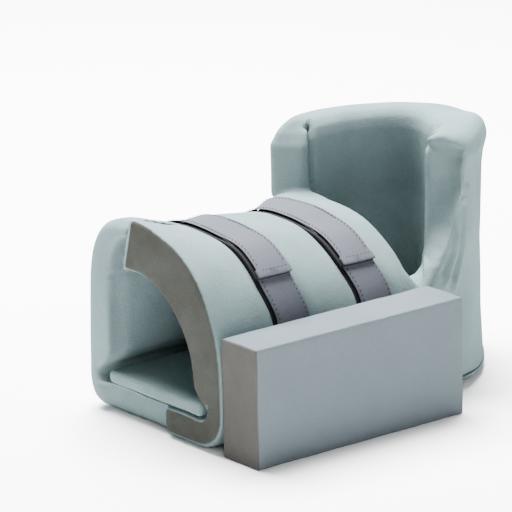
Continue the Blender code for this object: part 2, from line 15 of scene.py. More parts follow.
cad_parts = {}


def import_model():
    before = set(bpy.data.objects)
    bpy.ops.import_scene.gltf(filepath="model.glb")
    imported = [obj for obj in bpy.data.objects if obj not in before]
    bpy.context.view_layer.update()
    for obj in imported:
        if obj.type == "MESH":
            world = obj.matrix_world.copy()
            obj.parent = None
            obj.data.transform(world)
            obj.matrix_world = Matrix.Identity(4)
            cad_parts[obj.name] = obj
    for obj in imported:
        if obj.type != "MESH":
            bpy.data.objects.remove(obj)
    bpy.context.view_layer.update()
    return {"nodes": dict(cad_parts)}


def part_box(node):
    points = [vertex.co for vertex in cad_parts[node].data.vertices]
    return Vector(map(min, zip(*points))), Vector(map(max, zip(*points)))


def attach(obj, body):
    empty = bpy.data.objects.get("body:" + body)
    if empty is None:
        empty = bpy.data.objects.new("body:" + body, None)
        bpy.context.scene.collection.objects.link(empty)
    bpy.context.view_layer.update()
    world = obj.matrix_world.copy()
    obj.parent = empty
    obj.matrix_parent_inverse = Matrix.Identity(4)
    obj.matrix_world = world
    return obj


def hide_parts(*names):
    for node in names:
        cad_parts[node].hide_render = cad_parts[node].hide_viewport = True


# Sizes shared with the part
BOOT_MIDDLE = 0.02385
KNEE_END = -0.2045
WRAP_END = 0.0495
TUNNEL_MIDDLE = 0.085
FLAP_TOP = 0.1843
FLAP_REACH = 0.025
FLAP_THICK = 0.046
FLAP_SLANT = 0.013
BLOCK_TOP = 0.116
BLOCK_END = -0.2005

# Foam shell and sole: their meshing, and how far the slit is held open for it
FOAM_VOXEL = 0.0025
FOAM_SMOOTHING = 5
SOLE_VOXEL = 0.0015
SOLE_SMOOTHING = 4
SLIT_OPEN = 0.004
SLIT_REACH = 0.050
SLIT_FLOOR = 0.140
TIP_START = 0.0008

# Unevenness of cut foam, as (share, first wave, second wave), each wave along, across, up and its phase
WAVE_HEIGHT = 0.0005
SOFT_WAVES = [
    (1.0, (61.0, 23.0, 0.0, 1.0), (0.0, -31.0, 47.0, 0.0)),
    (0.6, (117.0, 0.0, -71.0, 2.0), (41.0, 97.0, 0.0, 0.0)),
]
SOLE_WAVE_SHARE = 0.5
PAD_WAVE_SHARE = 0.6
PAD_WAVE_SCALE = 1.6

# Pads and block
BLOCK_ROUND = 0.0016
BLOCK_ROUNDS = 3
CALF_PAD_ROUND = 0.005
CALF_PAD_ROUNDS = 4
PAD_CUTS = 24

# Straps: where they lie, and from what height to what height
STRAP_WIDTH = 0.039
KNEE_STRAP = -0.1115
ANKLE_STRAP = -0.0075
STRAP_SHIFT = 0.006
STRAP_LEAN = 0.035
LOWER_START = 0.108
UPPER_START = 0.151
UPPER_END = 0.062
LOWER_OVERLAP = 0.034
OVERLAP_HELD = 0.8
ANKLE_DROP = 0.010
STRAP_STEP_DOWN = 0.045

# Straps: their layers, hems and stitches
STRAP_FACE = 0.0009
STRAP_BACK = 0.0030
STRAP_LIFT = 0.0003
STRAP_ROUND = 0.0004
# The backing sticks out past the face at the knee side as a dark band, partly the real black backing and
# partly painted shadow of the strap's edge
BACKING_AND_SHADOW_EDGE = 0.0034
HEM_LENGTH = 0.008
HEM_THICK = 0.0026
HEM_EAR = 0.0012
HEM_ROUND = 0.0008
HEM_SEAM = 0.0056
STITCH_LENGTH = 0.0028
STITCH_WIDE = 0.0008
STITCH_STEP = 0.0045
STITCH_INSET = 0.0030

# Straps: the grid of places that their paths are read from, and of the bands laid on it
PATH_ROWS = 120
PATH_COLUMNS = 8
PATH_SPREAD = 1.2
PATH_SOFTENING = 6
NEAR_ANGLE = 215
FAR_ANGLE = -35
CROWN_ANGLE = 85
ANGLE_TRIES = 30
RAY_LENGTH = 0.3
MISSED_REACH = 0.09
FRAME_STEP = 0.0015
BAND_STEP = 0.002
BAND_COLUMNS = 8

# How far the straps sink in, how the foam swells beside them, and from what heights on each side
STRAP_PRESS = 0.0016
PRESS_EDGE = (-0.0005, 0.006)
STRAP_SWELL = 0.0007
SWELL_AWAY = 0.011
SWELL_WIDTH = 0.006
PRESS_NEAR = 0.085
PRESS_FAR = 0.040
PRESS_FADE = 0.02

# Near flange's front as (up, along): its inner edge, and its outer ridge
FRONT_INSIDE = -0.039
FRONT_OUTSIDE = -0.084
FRONT_LIMIT = 0.018
FRONT_SIDE = (0.027, 0.008)
FRONT_START = (WRAP_END + 0.001, 0.006)
FRONT_TOP = (0.200, 0.020)
INNER_EDGE = [
    (0.110, 0.050),
    (0.1135, 0.073),
    (0.119, 0.0815),
    (0.136, 0.085),
    (0.180, 0.0895),
    (0.205, 0.091),
]
OUTER_EDGE = [
    (0.128, 0.045),
    (0.131, 0.058),
    (0.142, 0.072),
    (0.163, 0.080),
    (0.195, 0.095),
    (0.228, 0.106),
]

# Near flange's hollowed front
PANEL_INSIDE = -0.065
PANEL_OUTSIDE = -0.105
PANEL_NEAR = -0.05
PANEL_START = WRAP_END + 0.002
PANEL_FOOT = (0.135, 0.03)
PANEL_TOP = (0.228, 0.012)
PANEL_FACING = 0.7
PANEL_DEPTH = 0.0080

# Folds down the near flange's outside, as (line in along and up, height, width)
FOLD_FACING = 0.6
FOLD_ENDS = 0.25
FLANGE_FOLDS = [
    ([(0.106, 0.240), (0.0956, 0.205), (0.0847, 0.167), (0.0719, 0.144), (0.0563, 0.130)], 0.0035, 0.0035),
    ([(0.0975, 0.205), (0.0901, 0.1765), (0.0904, 0.142), (0.0788, 0.1185), (0.071, 0.108)], 0.0024, 0.0030),
    ([(0.1085, 0.205), (0.1074, 0.184), (0.1017, 0.140), (0.0927, 0.116), (0.085, 0.100)], 0.0024, 0.0030),
    ([(0.100, 0.200), (0.0885, 0.165), (0.0815, 0.140), (0.067, 0.119)], -0.0028, 0.0035),
    ([(0.103, 0.190), (0.0985, 0.160), (0.0955, 0.138), (0.084, 0.110)], -0.0026, 0.0040),
]

# Rim: the lip over the near flange's front with a crease below it, and pinches as (centre, depth, width)
LIP_HEIGHT = 0.2455
LIP_PROUD = 0.0035
LIP_WIDTH = 0.005
LIP_CREASE = 0.0030
LIP_CREASE_BELOW = 0.009
LIP_CREASE_WIDTH = 0.003
LIP_NEAR = -0.045
LIP_START = WRAP_END + 0.02
LIP_FACING = 0.5
RIM_PINCHES = [
    ((0.1180, -0.0160, 0.246), 0.0040, 0.0065),
    ((0.1040, -0.0300, 0.243), 0.0050, 0.0075),
    ((0.1000, -0.0430, 0.241), 0.0040, 0.0060),
]

# Rim's near outer corner, and the wall below it
RIM_CORNER = (0.183, -0.010)
RIM_CORNER_WAY = (0.79, -0.61)
RIM_CORNER_OUT = 0.0075
RIM_CORNER_SPAN = 0.055
RIM_CORNER_FACING = (-0.1, 0.5)
RIM_CORNER_RISE = (0.200, 0.035)
RIM_WALL_RISE = (0.050, 0.060)
RIM_WALL_SHARE = 0.6

# Rim's far side, the far flange's top corner, and the crevice beside that flange as (along, up)
FAR_RIM_DROP = 0.0065
FAR_RIM_RISE = (0.190, 0.050)
FAR_RIM_SIDE = (-0.020, 0.050)
FAR_CORNER_DROP = 0.010
FAR_CORNER_FRONT = (-0.070, 0.042)
FAR_CORNER_RISE = (0.195, 0.045)
CREVICE = [(0.052, 0.252), (0.048, 0.235), (0.0475, 0.205), (0.050, 0.165)]
CREVICE_DEPTH = 0.009
CREVICE_WIDTH = 0.0028
CREVICE_NEAR = 0.055
CREVICE_FAR = 0.075
CREVICE_ENDS = (0.1, 0.3)

# Knee end of the crown: how far it stands up, and how much more its flap's edge does
CROWN_LIFT = 0.0050
CROWN_RISE = (0.120, 0.06)
CROWN_FADE = (KNEE_END, 0.115)
FLAP_LIFT = 0.0035
FLAP_RISE = (-0.055, 0.050)
FLAP_FADE = (KNEE_END, 0.055)
FLAP_EDGE = 0.001

# Knee end of the base: the far part's step back, and creases as (line in across and up, depth, width)
BASE_STEP = 0.009
BASE_STEP_FADE = (KNEE_END, 0.03)
BASE_STEP_TOP = (0.026, 0.004)
BASE_STEP_NEAR = (-0.003, 0.009)
BASE_STEP_FAR = (0.092, 0.02)
KNEE_CREASE_FADE = (KNEE_END + 0.004, 0.02)
KNEE_CREASES = [
    ([(-0.0640, 0.047), (-0.0645, 0.038)], 0.0011, 0.0030),
    ([(-0.0645, 0.0465), (-0.0765, 0.0450)], 0.0010, 0.0030),
]

# Edges sharper than these angles stay sharp
FOAM_ANGLE = 60
CLOTH_ANGLE = 50
PAD_ANGLE = 35

# Cut face at the knee end, in the foam's colouring; its colours below are partly the cut foam's own browner
# tone and partly painted shade for end faces turned away from the lights
CUT_FACE_DEPTH = 0.003
CUT_FACE_REACH = 0.1008
CUT_FACE_SLANT = 0.2826
CUT_FACE_BLEND = 0.001

# Colours, linear
FOAM_LIGHT = (0.132, 0.178, 0.184, 1.0)
FOAM_DARK = (0.098, 0.137, 0.142, 1.0)
# Cut face colours: the cut foam's own browner tone, darkened by painted shade
FOAM_CUT_AND_SHADE = (0.043, 0.045, 0.041, 1.0)
FOAM_CUT_AND_SHADE_DARK = (0.032, 0.033, 0.029, 1.0)
BLOCK_LIGHT = (0.090, 0.110, 0.122, 1.0)
BLOCK_DARK = (0.080, 0.098, 0.109, 1.0)
# Block's cut face colours: its own browner tone, darkened by painted shade
BLOCK_CUT_AND_SHADE = (0.058, 0.056, 0.053, 1.0)
BLOCK_CUT_AND_SHADE_DARK = (0.050, 0.048, 0.045, 1.0)
CLOTH_LIGHT = (0.064, 0.069, 0.083, 1.0)
CLOTH_DARK = (0.051, 0.055, 0.067, 1.0)
# Near black: the backing's own colour, which on its band beside the face also stands in as painted shadow
BACKING_AND_SHADOW = (0.008, 0.008, 0.010, 1.0)
BACKING_AND_SHADOW_DARK = (0.004, 0.004, 0.005, 1.0)
THREAD = (0.014, 0.014, 0.019, 1.0)
THREAD_DARK = (0.008, 0.008, 0.011, 1.0)
FLOOR_COLOR = (0.98, 0.98, 0.98, 1.0)

# Camera, lights as (name, place, size, power), and floor
CAMERA_PLACE = (-2.6066, -3.2128, 1.3785)
CAMERA_AZIMUTH = -38.055
CAMERA_ELEVATION = 16.695
CAMERA_ROLL = 1.141
CAMERA_LENS = 316.4
CAMERA_FAR = 50.0
SENSOR = 36.0
LIGHTS = [
    ("overhead", (0.35, 0.95, 2.4), 1.8, 860.0),
    ("side", (-1.2, -2.6, 1.2), 1.4, 36.0),
]
LIGHTS_AIM = (0.0, 0.0, 0.1)
SKY = (1.0, 1.0, 1.0, 1.0)
SKY_STRENGTH = 0.42
FLOOR_SIZE = 12.0


def only(obj):
    """Makes one object the selected and active one."""
    bpy.ops.object.select_all(action="DESELECT")
    obj.hide_set(False)
    obj.select_set(True)
    bpy.context.view_layer.objects.active = obj


def apply_modifier(obj, kind, **settings):
    modifier = obj.modifiers.new(kind.lower(), kind)
    for name, value in settings.items():
        setattr(modifier, name, value)
    only(obj)
    bpy.ops.object.modifier_apply(modifier=modifier.name)


def settle(obj):
    """Puts an object's place, turn and scale into its mesh."""
    only(obj)
    bpy.ops.object.transform_apply(location=True, rotation=True, scale=True)


def node_copy(frame, node, name):
    """A copy of a part's mesh as one closed surface."""
    source = frame["nodes"][node]
    mesh = source.data.copy()
    mesh.name = name
    obj = bpy.data.objects.new(name, mesh)
    bpy.context.scene.collection.objects.link(obj)
    only(obj)
    bpy.ops.object.mode_set(mode="EDIT")
    bpy.ops.mesh.select_all(action="SELECT")
    bpy.ops.mesh.remove_doubles(threshold=0.00001)
    bpy.ops.object.mode_set(mode="OBJECT")
    return obj


def read_points(obj):
    points = np.empty(len(obj.data.vertices) * 3)
    obj.data.vertices.foreach_get("co", points)
    return points.reshape(-1, 3)


def read_normals(obj):
    normals = np.empty(len(obj.data.vertices) * 3)
    obj.data.vertices.foreach_get("normal", normals)
    return normals.reshape(-1, 3)


def write_points(obj, points):
    obj.data.vertices.foreach_set("co", points.ravel())
    obj.data.update()


def smooth(value):
    value = np.clip(value, 0.0, 1.0)
    return value * value * (3 - 2 * value)


def ramp(value, start, length):
    """Climbs smoothly from 0 at the start to 1 a length on."""
    return smooth((value - start) / length)


def bump(distance, width):
    """1 at no distance, fading away over the width."""
    return np.exp(-((distance / width) ** 2))


def line_distance(across, up, line):
    """Distance from points in a plane to a line of points, and the nearest place along the line."""
    best = np.full(len(across), np.inf)
    place = np.zeros(len(across))
    for k in range(len(line) - 1):
        (a, b), (c, d) = line[k], line[k + 1]
        run, rise = c - a, d - b
        part = ((across - a) * run + (up - b) * rise) / (run * run + rise * rise)
        part = np.clip(part, 0.0, 1.0)
        distance = np.hypot(across - a - run * part, up - b - rise * part)
        nearer = distance < best
        best = np.where(nearer, distance, best)
        place = np.where(nearer, k + part, place)
    return best, place


def line_ends(place, line, start, end):
    """Fades out towards both ends of a line, over shares of its first and last stretch."""
    return smooth(place / start) * smooth((len(line) - 1 - place) / end)


def set_smooth(obj, degrees):
    only(obj)
    bpy.ops.object.shade_smooth_by_angle(angle=math.radians(degrees))


# Materials


def new_group(name, inputs, outputs):
    """A shader node group with named sockets. Each is (name, kind, value)."""
    group = bpy.data.node_groups.new(name, "ShaderNodeTree")
    for label, kind, value in inputs:
        socket = group.interface.new_socket(label, in_out="INPUT", socket_type=kind)
        socket.default_value = value
    for label, kind in outputs:
        group.interface.new_socket(label, in_out="OUTPUT", socket_type=kind)
    return group


def add_node(tree, kind, place, **settings):
    node = tree.nodes.new(kind)
    node.location = place
    for name, value in settings.items():
        setattr(node, name, value)
    return node


def link(tree, source, output, target, socket):
    tree.links.new(source.outputs[output], target.inputs[socket])


def set_inputs(node, **values):
    """Sets a node's inputs by name, an underscore standing for a space."""
    for label, value in values.items():
        node.inputs[label.replace("_", " ")].default_value = value


def mix_colors(tree, place):
    return add_node(tree, "ShaderNodeMix", place, data_type="RGBA")


def foam_grain_group():
    """Foam's colour and height: broad mottling, and the fine grain of its cells."""
    group = new_group(
        "Foam grain",
        [
            ("Light", "NodeSocketColor", (1, 1, 1, 1)),
            ("Dark", "NodeSocketColor", (0, 0, 0, 1)),
            ("Mottle Scale", "NodeSocketFloat", 18.0),
            ("Grain Scale", "NodeSocketFloat", 520.0),
            ("Mottle", "NodeSocketFloat", 0.6),
        ],
        [("Color", "NodeSocketColor"), ("Height", "NodeSocketFloat")],
    )
    start = add_node(group, "NodeGroupInput", (-900, 0))
    end = add_node(group, "NodeGroupOutput", (500, 0))
    place = add_node(group, "ShaderNodeTexCoord", (-900, 300))
    mottle = add_node(group, "ShaderNodeTexNoise", (-600, 250))
    set_inputs(mottle, Detail=4.0, Roughness=0.6)
    grain = add_node(group, "ShaderNodeTexNoise", (-600, -50))
    set_inputs(grain, Detail=3.0, Roughness=0.7)
    link(group, place, "Object", mottle, "Vector")
    link(group, place, "Object", grain, "Vector")
    link(group, start, "Mottle Scale", mottle, "Scale")
    link(group, start, "Grain Scale", grain, "Scale")
    spread = add_node(group, "ShaderNodeMapRange", (-380, 250))
    set_inputs(spread, From_Min=0.32, From_Max=0.68)
    link(group, mottle, "Fac", spread, "Value")
    share = add_node(group, "ShaderNodeMath", (-180, 250), operation="MULTIPLY")
    link(group, spread, "Result", share, 0)
    link(group, start, "Mottle", share, 1)
    specks = add_node(group, "ShaderNodeMapRange", (-380, -50))
    set_inputs(specks, From_Min=0.35, From_Max=0.65, To_Max=0.35)
    link(group, grain, "Fac", specks, "Value")
    total = add_node(group, "ShaderNodeMath", (0, 150), operation="ADD", use_clamp=True)
    link(group, share, "Value", total, 0)
    link(group, specks, "Result", total, 1)
    mix = mix_colors(group, (200, 100))
    link(group, total, "Value", mix, "Factor")
    link(group, start, "Light", mix, "A")
    link(group, start, "Dark", mix, "B")
    link(group, mix, "Result", end, "Color")
    link(group, grain, "Fac", end, "Height")
    return group


def new_material(name):
    material = bpy.data.materials.new(name)
    material.use_nodes = True
    return material, material.node_tree, material.node_tree.nodes["Principled BSDF"]


def place_group(tree, group, place, **values):
    node = add_node(tree, "ShaderNodeGroup", place, node_tree=group)
    set_inputs(node, **values)
    return node


def cut_face_shade_mask(tree, edge):
    """1 on the cut end face at the knee end, 0 elsewhere: where the cut face colour, partly painted shade,
    goes.
    """
    place = add_node(tree, "ShaderNodeTexCoord", (-1100, 400))
    axes = add_node(tree, "ShaderNodeSeparateXYZ", (-900, 400))
    link(tree, place, "Object", axes, "Vector")
    cut_shade_mask = add_node(tree, "ShaderNodeMapRange", (-700, 400), interpolation_type="SMOOTHSTEP")
    set_inputs(cut_shade_mask, From_Min=edge + CUT_FACE_DEPTH, From_Max=edge + CUT_FACE_DEPTH / 3)
    link(tree, axes, "X", cut_shade_mask, "Value")
    near = add_node(tree, "ShaderNodeMapRange", (-700, 650), interpolation_type="SMOOTHSTEP")
    set_inputs(near, From_Min=CUT_FACE_REACH, From_Max=CUT_FACE_REACH - CUT_FACE_BLEND)
    slant = add_node(tree, "ShaderNodeMath", (-900, 650), operation="MULTIPLY_ADD")
    link(tree, axes, "Z", slant, 0)
    slant.inputs[1].default_value = CUT_FACE_SLANT
    link(tree, axes, "Y", slant, 2)
    link(tree, slant, "Value", near, "Value")
    both = add_node(tree, "ShaderNodeMath", (-500, 500), operation="MULTIPLY")
    link(tree, cut_shade_mask, "Result", both, 0)
    link(tree, near, "Result", both, 1)
    return both


def foam_material(name, grain, light, dark, edge, cut, cut_and_shade_dark):
    """Matt foam with a fine grain, and another colour on its cut end face: the cut foam's own browner tone,
    darkened by painted shade.
    """
    material, tree, shader = new_material(name)
    surface = place_group(tree, grain, (-700, 0), Light=light, Dark=dark)
    height = add_node(tree, "ShaderNodeBump", (-300, -200))
    set_inputs(height, Strength=0.7, Distance=0.0010)
    mix = mix_colors(tree, (-300, 200))
    cut_shade_mask = cut_face_shade_mask(tree, edge)
    # The cut face colour: the foam's own browner tone darkened by painted shade
    face = place_group(tree, grain, (-700, 250), Light=cut, Dark=cut_and_shade_dark, Mottle_Scale=26.0, Mottle=0.9)
    link(tree, cut_shade_mask, "Value", mix, "Factor")
    link(tree, surface, "Color", mix, "A")
    link(tree, face, "Color", mix, "B")
    link(tree, mix, "Result", shader, "Base Color")
    link(tree, surface, "Height", height, "Height")
    link(tree, height, "Normal", shader, "Normal")
    set_inputs(shader, Roughness=0.8, Specular_IOR_Level=0.0)
    return material


def cloth_material(name, light, dark):
    """Brushed cloth: fine fuzz between two tones."""
    material, tree, shader = new_material(name)
    place = add_node(tree, "ShaderNodeTexCoord", (-900, 0))
    fuzz = add_node(tree, "ShaderNodeTexNoise", (-700, 0))
    set_inputs(fuzz, Scale=1100.0, Detail=4.0)
    link(tree, place, "Object", fuzz, "Vector")
    spread = add_node(tree, "ShaderNodeMapRange", (-500, 0))
    set_inputs(spread, From_Min=0.35, From_Max=0.65)
    link(tree, fuzz, "Fac", spread, "Value")
    mix = mix_colors(tree, (-300, 0))
    set_inputs(mix, A=light, B=dark)
    link(tree, spread, "Result", mix, "Factor")
    link(tree, mix, "Result", shader, "Base Color")
    height = add_node(tree, "ShaderNodeBump", (-300, -250))
    set_inputs(height, Strength=0.5, Distance=0.0004)
    link(tree, fuzz, "Fac", height, "Height")
    link(tree, height, "Normal", shader, "Normal")
    set_inputs(shader, Roughness=0.95, Specular_IOR_Level=0.15)
    return material


# Foam shell


def slit_line(points):
    """Across position of the slit at each point's height."""
    depth = np.clip(FLAP_TOP - points[:, 2], 0.0, FLAP_THICK)
    return FLAP_REACH + FLAP_SLANT * depth / FLAP_THICK


def shift_tip(obj, amount, middle):
    """Moves the far wall's curled tip away from the flap's edge, or back to it."""
    points = read_points(obj)
    across = points[:, 1] - BOOT_MIDDLE
    line = slit_line(points)
    far = (across > line + middle) & (points[:, 2] > SLIT_FLOOR) & (points[:, 0] < WRAP_END)
    points[:, 1] += amount * far * (1 - smooth((across - line) / SLIT_REACH))
    write_points(obj, points)


def build_foam_shell(frame):
    """The trough and the upright wall as one foam piece, meshed evenly with its slit kept open."""
    shell = node_copy(frame, "leg_wrap", "foam_shell")
    shift_tip(shell, SLIT_OPEN, TIP_START)
    wall = node_copy(frame, "foot_wall", "foot_copy")
    only(shell)
    wall.select_set(True)
    bpy.ops.object.join()
    apply_modifier(shell, "REMESH", mode="VOXEL", voxel_size=FOAM_VOXEL, adaptivity=0.0)
    apply_modifier(shell, "SMOOTH", factor=0.5, iterations=FOAM_SMOOTHING)
    shift_tip(shell, -SLIT_OPEN, TIP_START + SLIT_OPEN / 2)
    return shell


def strap_middle(middle, up):
    """A strap leans back towards the knee end as it climbs the near wall."""
    return middle - STRAP_SHIFT * ramp(up, BLOCK_TOP, STRAP_LEAN)


def faces_out(across, up, normals):
    """1 on the shell's outside, 0 in its hollow."""
    return ((across * normals[:, 1] + (up - TUNNEL_MIDDLE) * normals[:, 2]) > 0).astype(float)


def press_straps(points, normals):
    """The straps sink into the foam, which swells a little beside them."""
    across, up = points[:, 1] - BOOT_MIDDLE, points[:, 2]
    moves = np.zeros(len(points))
    floor = np.where(across < 0, PRESS_NEAR, PRESS_FAR)
    held = ramp(up, floor, PRESS_FADE) * faces_out(across, up, normals)
    for middle in (KNEE_STRAP, ANKLE_STRAP):
        lean = np.where(across > 0, middle - STRAP_SHIFT, strap_middle(middle, up))
        away = np.abs(points[:, 0] - lean) - STRAP_WIDTH / 2
        press = 1 - ramp(away, *PRESS_EDGE)
        swell = bump(away - SWELL_AWAY, SWELL_WIDTH)
        moves += held * (swell * STRAP_SWELL - press * STRAP_PRESS)
    return moves


def wave(points, row):
    return np.sin(points @ np.array(row[:3]) + row[3])


def soft_waves(points):
    """Slow unevenness of a hand-cut foam surface."""
    return WAVE_HEIGHT * sum(
        share * wave(points, first) * wave(points, second) for share, first, second in SOFT_WAVES
    )


def flange_front(points):
    """Cuts the near flange's front back to a face that twists from its inner edge to its outer ridge."""
    x, y, z = points.T
    inner = np.interp(z, *zip(*INNER_EDGE))
    outer = np.interp(z, *zip(*OUTER_EDGE))
    share = np.clip((FRONT_INSIDE - y) / (FRONT_INSIDE - FRONT_OUTSIDE), 0.0, 1.0)
    push = np.clip(inner + (outer - inner) * share - x, 0.0, FRONT_LIMIT)
    return push * ramp(-y, *FRONT_SIDE) * ramp(x, *FRONT_START) * (1 - ramp(z, *FRONT_TOP))


def flange_panel(points, normals):
    """The near flange's front is hollowed between its two edges."""
    across, up = points[:, 1] - BOOT_MIDDLE, points[:, 2]
    share = (across - PANEL_INSIDE) / (PANEL_OUTSIDE - PANEL_INSIDE)
    bow = np.clip(4 * share * (1 - share), 0.0, 1.0)
    front = smooth(-normals[:, 0] / PANEL_FACING) * (across < PANEL_NEAR) * (points[:, 0] > PANEL_START)
    return bow * front * ramp(up, *PANEL_FOOT) * (1 - ramp(up, *PANEL_TOP)) * PANEL_DEPTH


def flange_folds(points, normals):
    """Folds that run down the outside of the near flange, from below its rim."""
    side = smooth(-normals[:, 1] / FOLD_FACING) * (points[:, 1] < BOOT_MIDDLE)
    moves = np.zeros(len(points))
    for line, height, width in FLANGE_FOLDS:
        distance, place = line_distance(points[:, 0], points[:, 2], line)
        moves += side * height * line_ends(place, line, FOLD_ENDS, FOLD_ENDS) * bump(distance, width)
    return moves


def rim_corner(points, normals):
    """The rim's near outer corner stands out, and the wall below it a little less."""
    way = np.array(RIM_CORNER_WAY)
    up = points[:, 2]
    distance = np.linalg.norm(points[:, :2] - np.array(RIM_CORNER), axis=1)
    facing = ramp(normals[:, :2] @ way, *RIM_CORNER_FACING)
    high = RIM_WALL_SHARE * ramp(up, *RIM_WALL_RISE) + (1 - RIM_WALL_SHARE) * ramp(up, *RIM_CORNER_RISE)
    amount = RIM_CORNER_OUT * high * facing * bump(distance, RIM_CORNER_SPAN)
    return amount[:, None] * way


def knee_crown(points):
    """The crown rises towards the knee end, most of all at the flap's free edge."""
    x, y, z = points.T
    beside = y - BOOT_MIDDLE - slit_line(points)
    flap = ramp(beside, *FLAP_RISE) * (beside < FLAP_EDGE)
    lift = CROWN_LIFT * (1 - ramp(x, *CROWN_FADE))
    return ramp(z, *CROWN_RISE) * (lift + FLAP_LIFT * flap * (1 - ramp(x, *FLAP_FADE)))


def far_rim(points):
    """The rim is lower along its far side."""
    return -FAR_RIM_DROP * ramp(points[:, 2], *FAR_RIM_RISE) * ramp(points[:, 1], *FAR_RIM_SIDE)


def far_corner(points):
    """The far flange's top front corner is rounded down."""
    x, y, z = points.T
    front = ramp(-x, *FAR_CORNER_FRONT) ** 2
    return -FAR_CORNER_DROP * front * ramp(z, *FAR_CORNER_RISE) * (y > BOOT_MIDDLE)


def far_crevice(points):
    """The narrow groove where the far flange meets the pocket's inside."""
    across = points[:, 1] - BOOT_MIDDLE
    distance, place = line_distance(points[:, 0], points[:, 2], CREVICE)
    inside = (across > CREVICE_NEAR) & (across < CREVICE_FAR)
    return -CREVICE_DEPTH * inside * line_ends(place, CREVICE, *CREVICE_ENDS) * bump(distance, CREVICE_WIDTH)


def pinches(points):
    """The folds where the rolled rim is pinched in at the near flange's top."""
    moves = np.zeros(len(points))
    for centre, depth, width in RIM_PINCHES:
        moves -= depth * bump(np.linalg.norm(points - np.array(centre), axis=1), width)
    return moves


def rolled_lip(points, normals):
    """The rim rolls forward over the flange's hollowed front as a soft lip with a crease under it."""
    across, up = points[:, 1] - BOOT_MIDDLE, points[:, 2]
    front = smooth(-normals[:, 0] / LIP_FACING) * (across < LIP_NEAR) * (points[:, 0] > LIP_START)
    lip = bump(up - LIP_HEIGHT, LIP_WIDTH)
    crease = bump(up - LIP_HEIGHT + LIP_CREASE_BELOW, LIP_CREASE_WIDTH)
    return front * (LIP_CREASE * crease - LIP_PROUD * lip)


def knee_base(points):
    """The base's knee end: a near pillow, and beyond a step its far part, set back."""
    x, y, z = points.T
    beyond = ramp(y, *BASE_STEP_NEAR) * (1 - ramp(y, *BASE_STEP_FAR))
    return BASE_STEP * beyond * (1 - ramp(x, *BASE_STEP_FADE)) * (1 - ramp(z, *BASE_STEP_TOP))


def knee_creases(points):
    """Short creases where the trough's wall meets its floor at the knee end."""
    moves = np.zeros(len(points))
    reach = 1 - ramp(points[:, 0], *KNEE_CREASE_FADE)
    for line, depth, width in KNEE_CREASES:
        distance, _ = line_distance(points[:, 1], points[:, 2], line)
        moves += depth * bump(distance, width) * reach
    return moves


def shape_shell(shell):
    """The dents, folds and presses of the foam, moved in by chosen amounts."""
    points, normals = read_points(shell), read_normals(shell)
    out = press_straps(points, normals) + soft_waves(points) + flange_folds(points, normals)
    out += far_crevice(points) + pinches(points)
    points = points + normals * out[:, None]
    points[:, 0] += flange_front(points)
    points[:, 0] += flange_panel(points, normals) + rolled_lip(points, normals)
    points[:, 0] += knee_base(points) + knee_creases(points)
    points[:, :2] += rim_corner(points, normals)
    points[:, 2] += far_rim(points) + far_corner(points)
    points[:, 2] += knee_crown(points)
    write_points(shell, points)


def dress(obj, material, node):
    """Gives a finished piece its finish and its place on the frame, and hides the parts it stands in for."""
    obj.data.materials.clear()
    obj.data.materials.append(material)
    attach(obj, "root")
    if node:
        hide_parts(*node)


# Straps


def surface_tree(obj):
    return BVHTree.FromObject(obj, bpy.context.evaluated_depsgraph_get())


def shell_hit(tree, x, angle):
    """Where a ray from outside, aimed at the tunnel's middle line, meets the shell."""
    way = Vector((0.0, math.cos(angle), math.sin(angle)))
    middle = Vector((x, BOOT_MIDDLE, TUNNEL_MIDDLE))
    hit = tree.ray_cast(middle + way * RAY_LENGTH, -way)[0]
    return hit if hit is not None else middle + way * MISSED_REACH


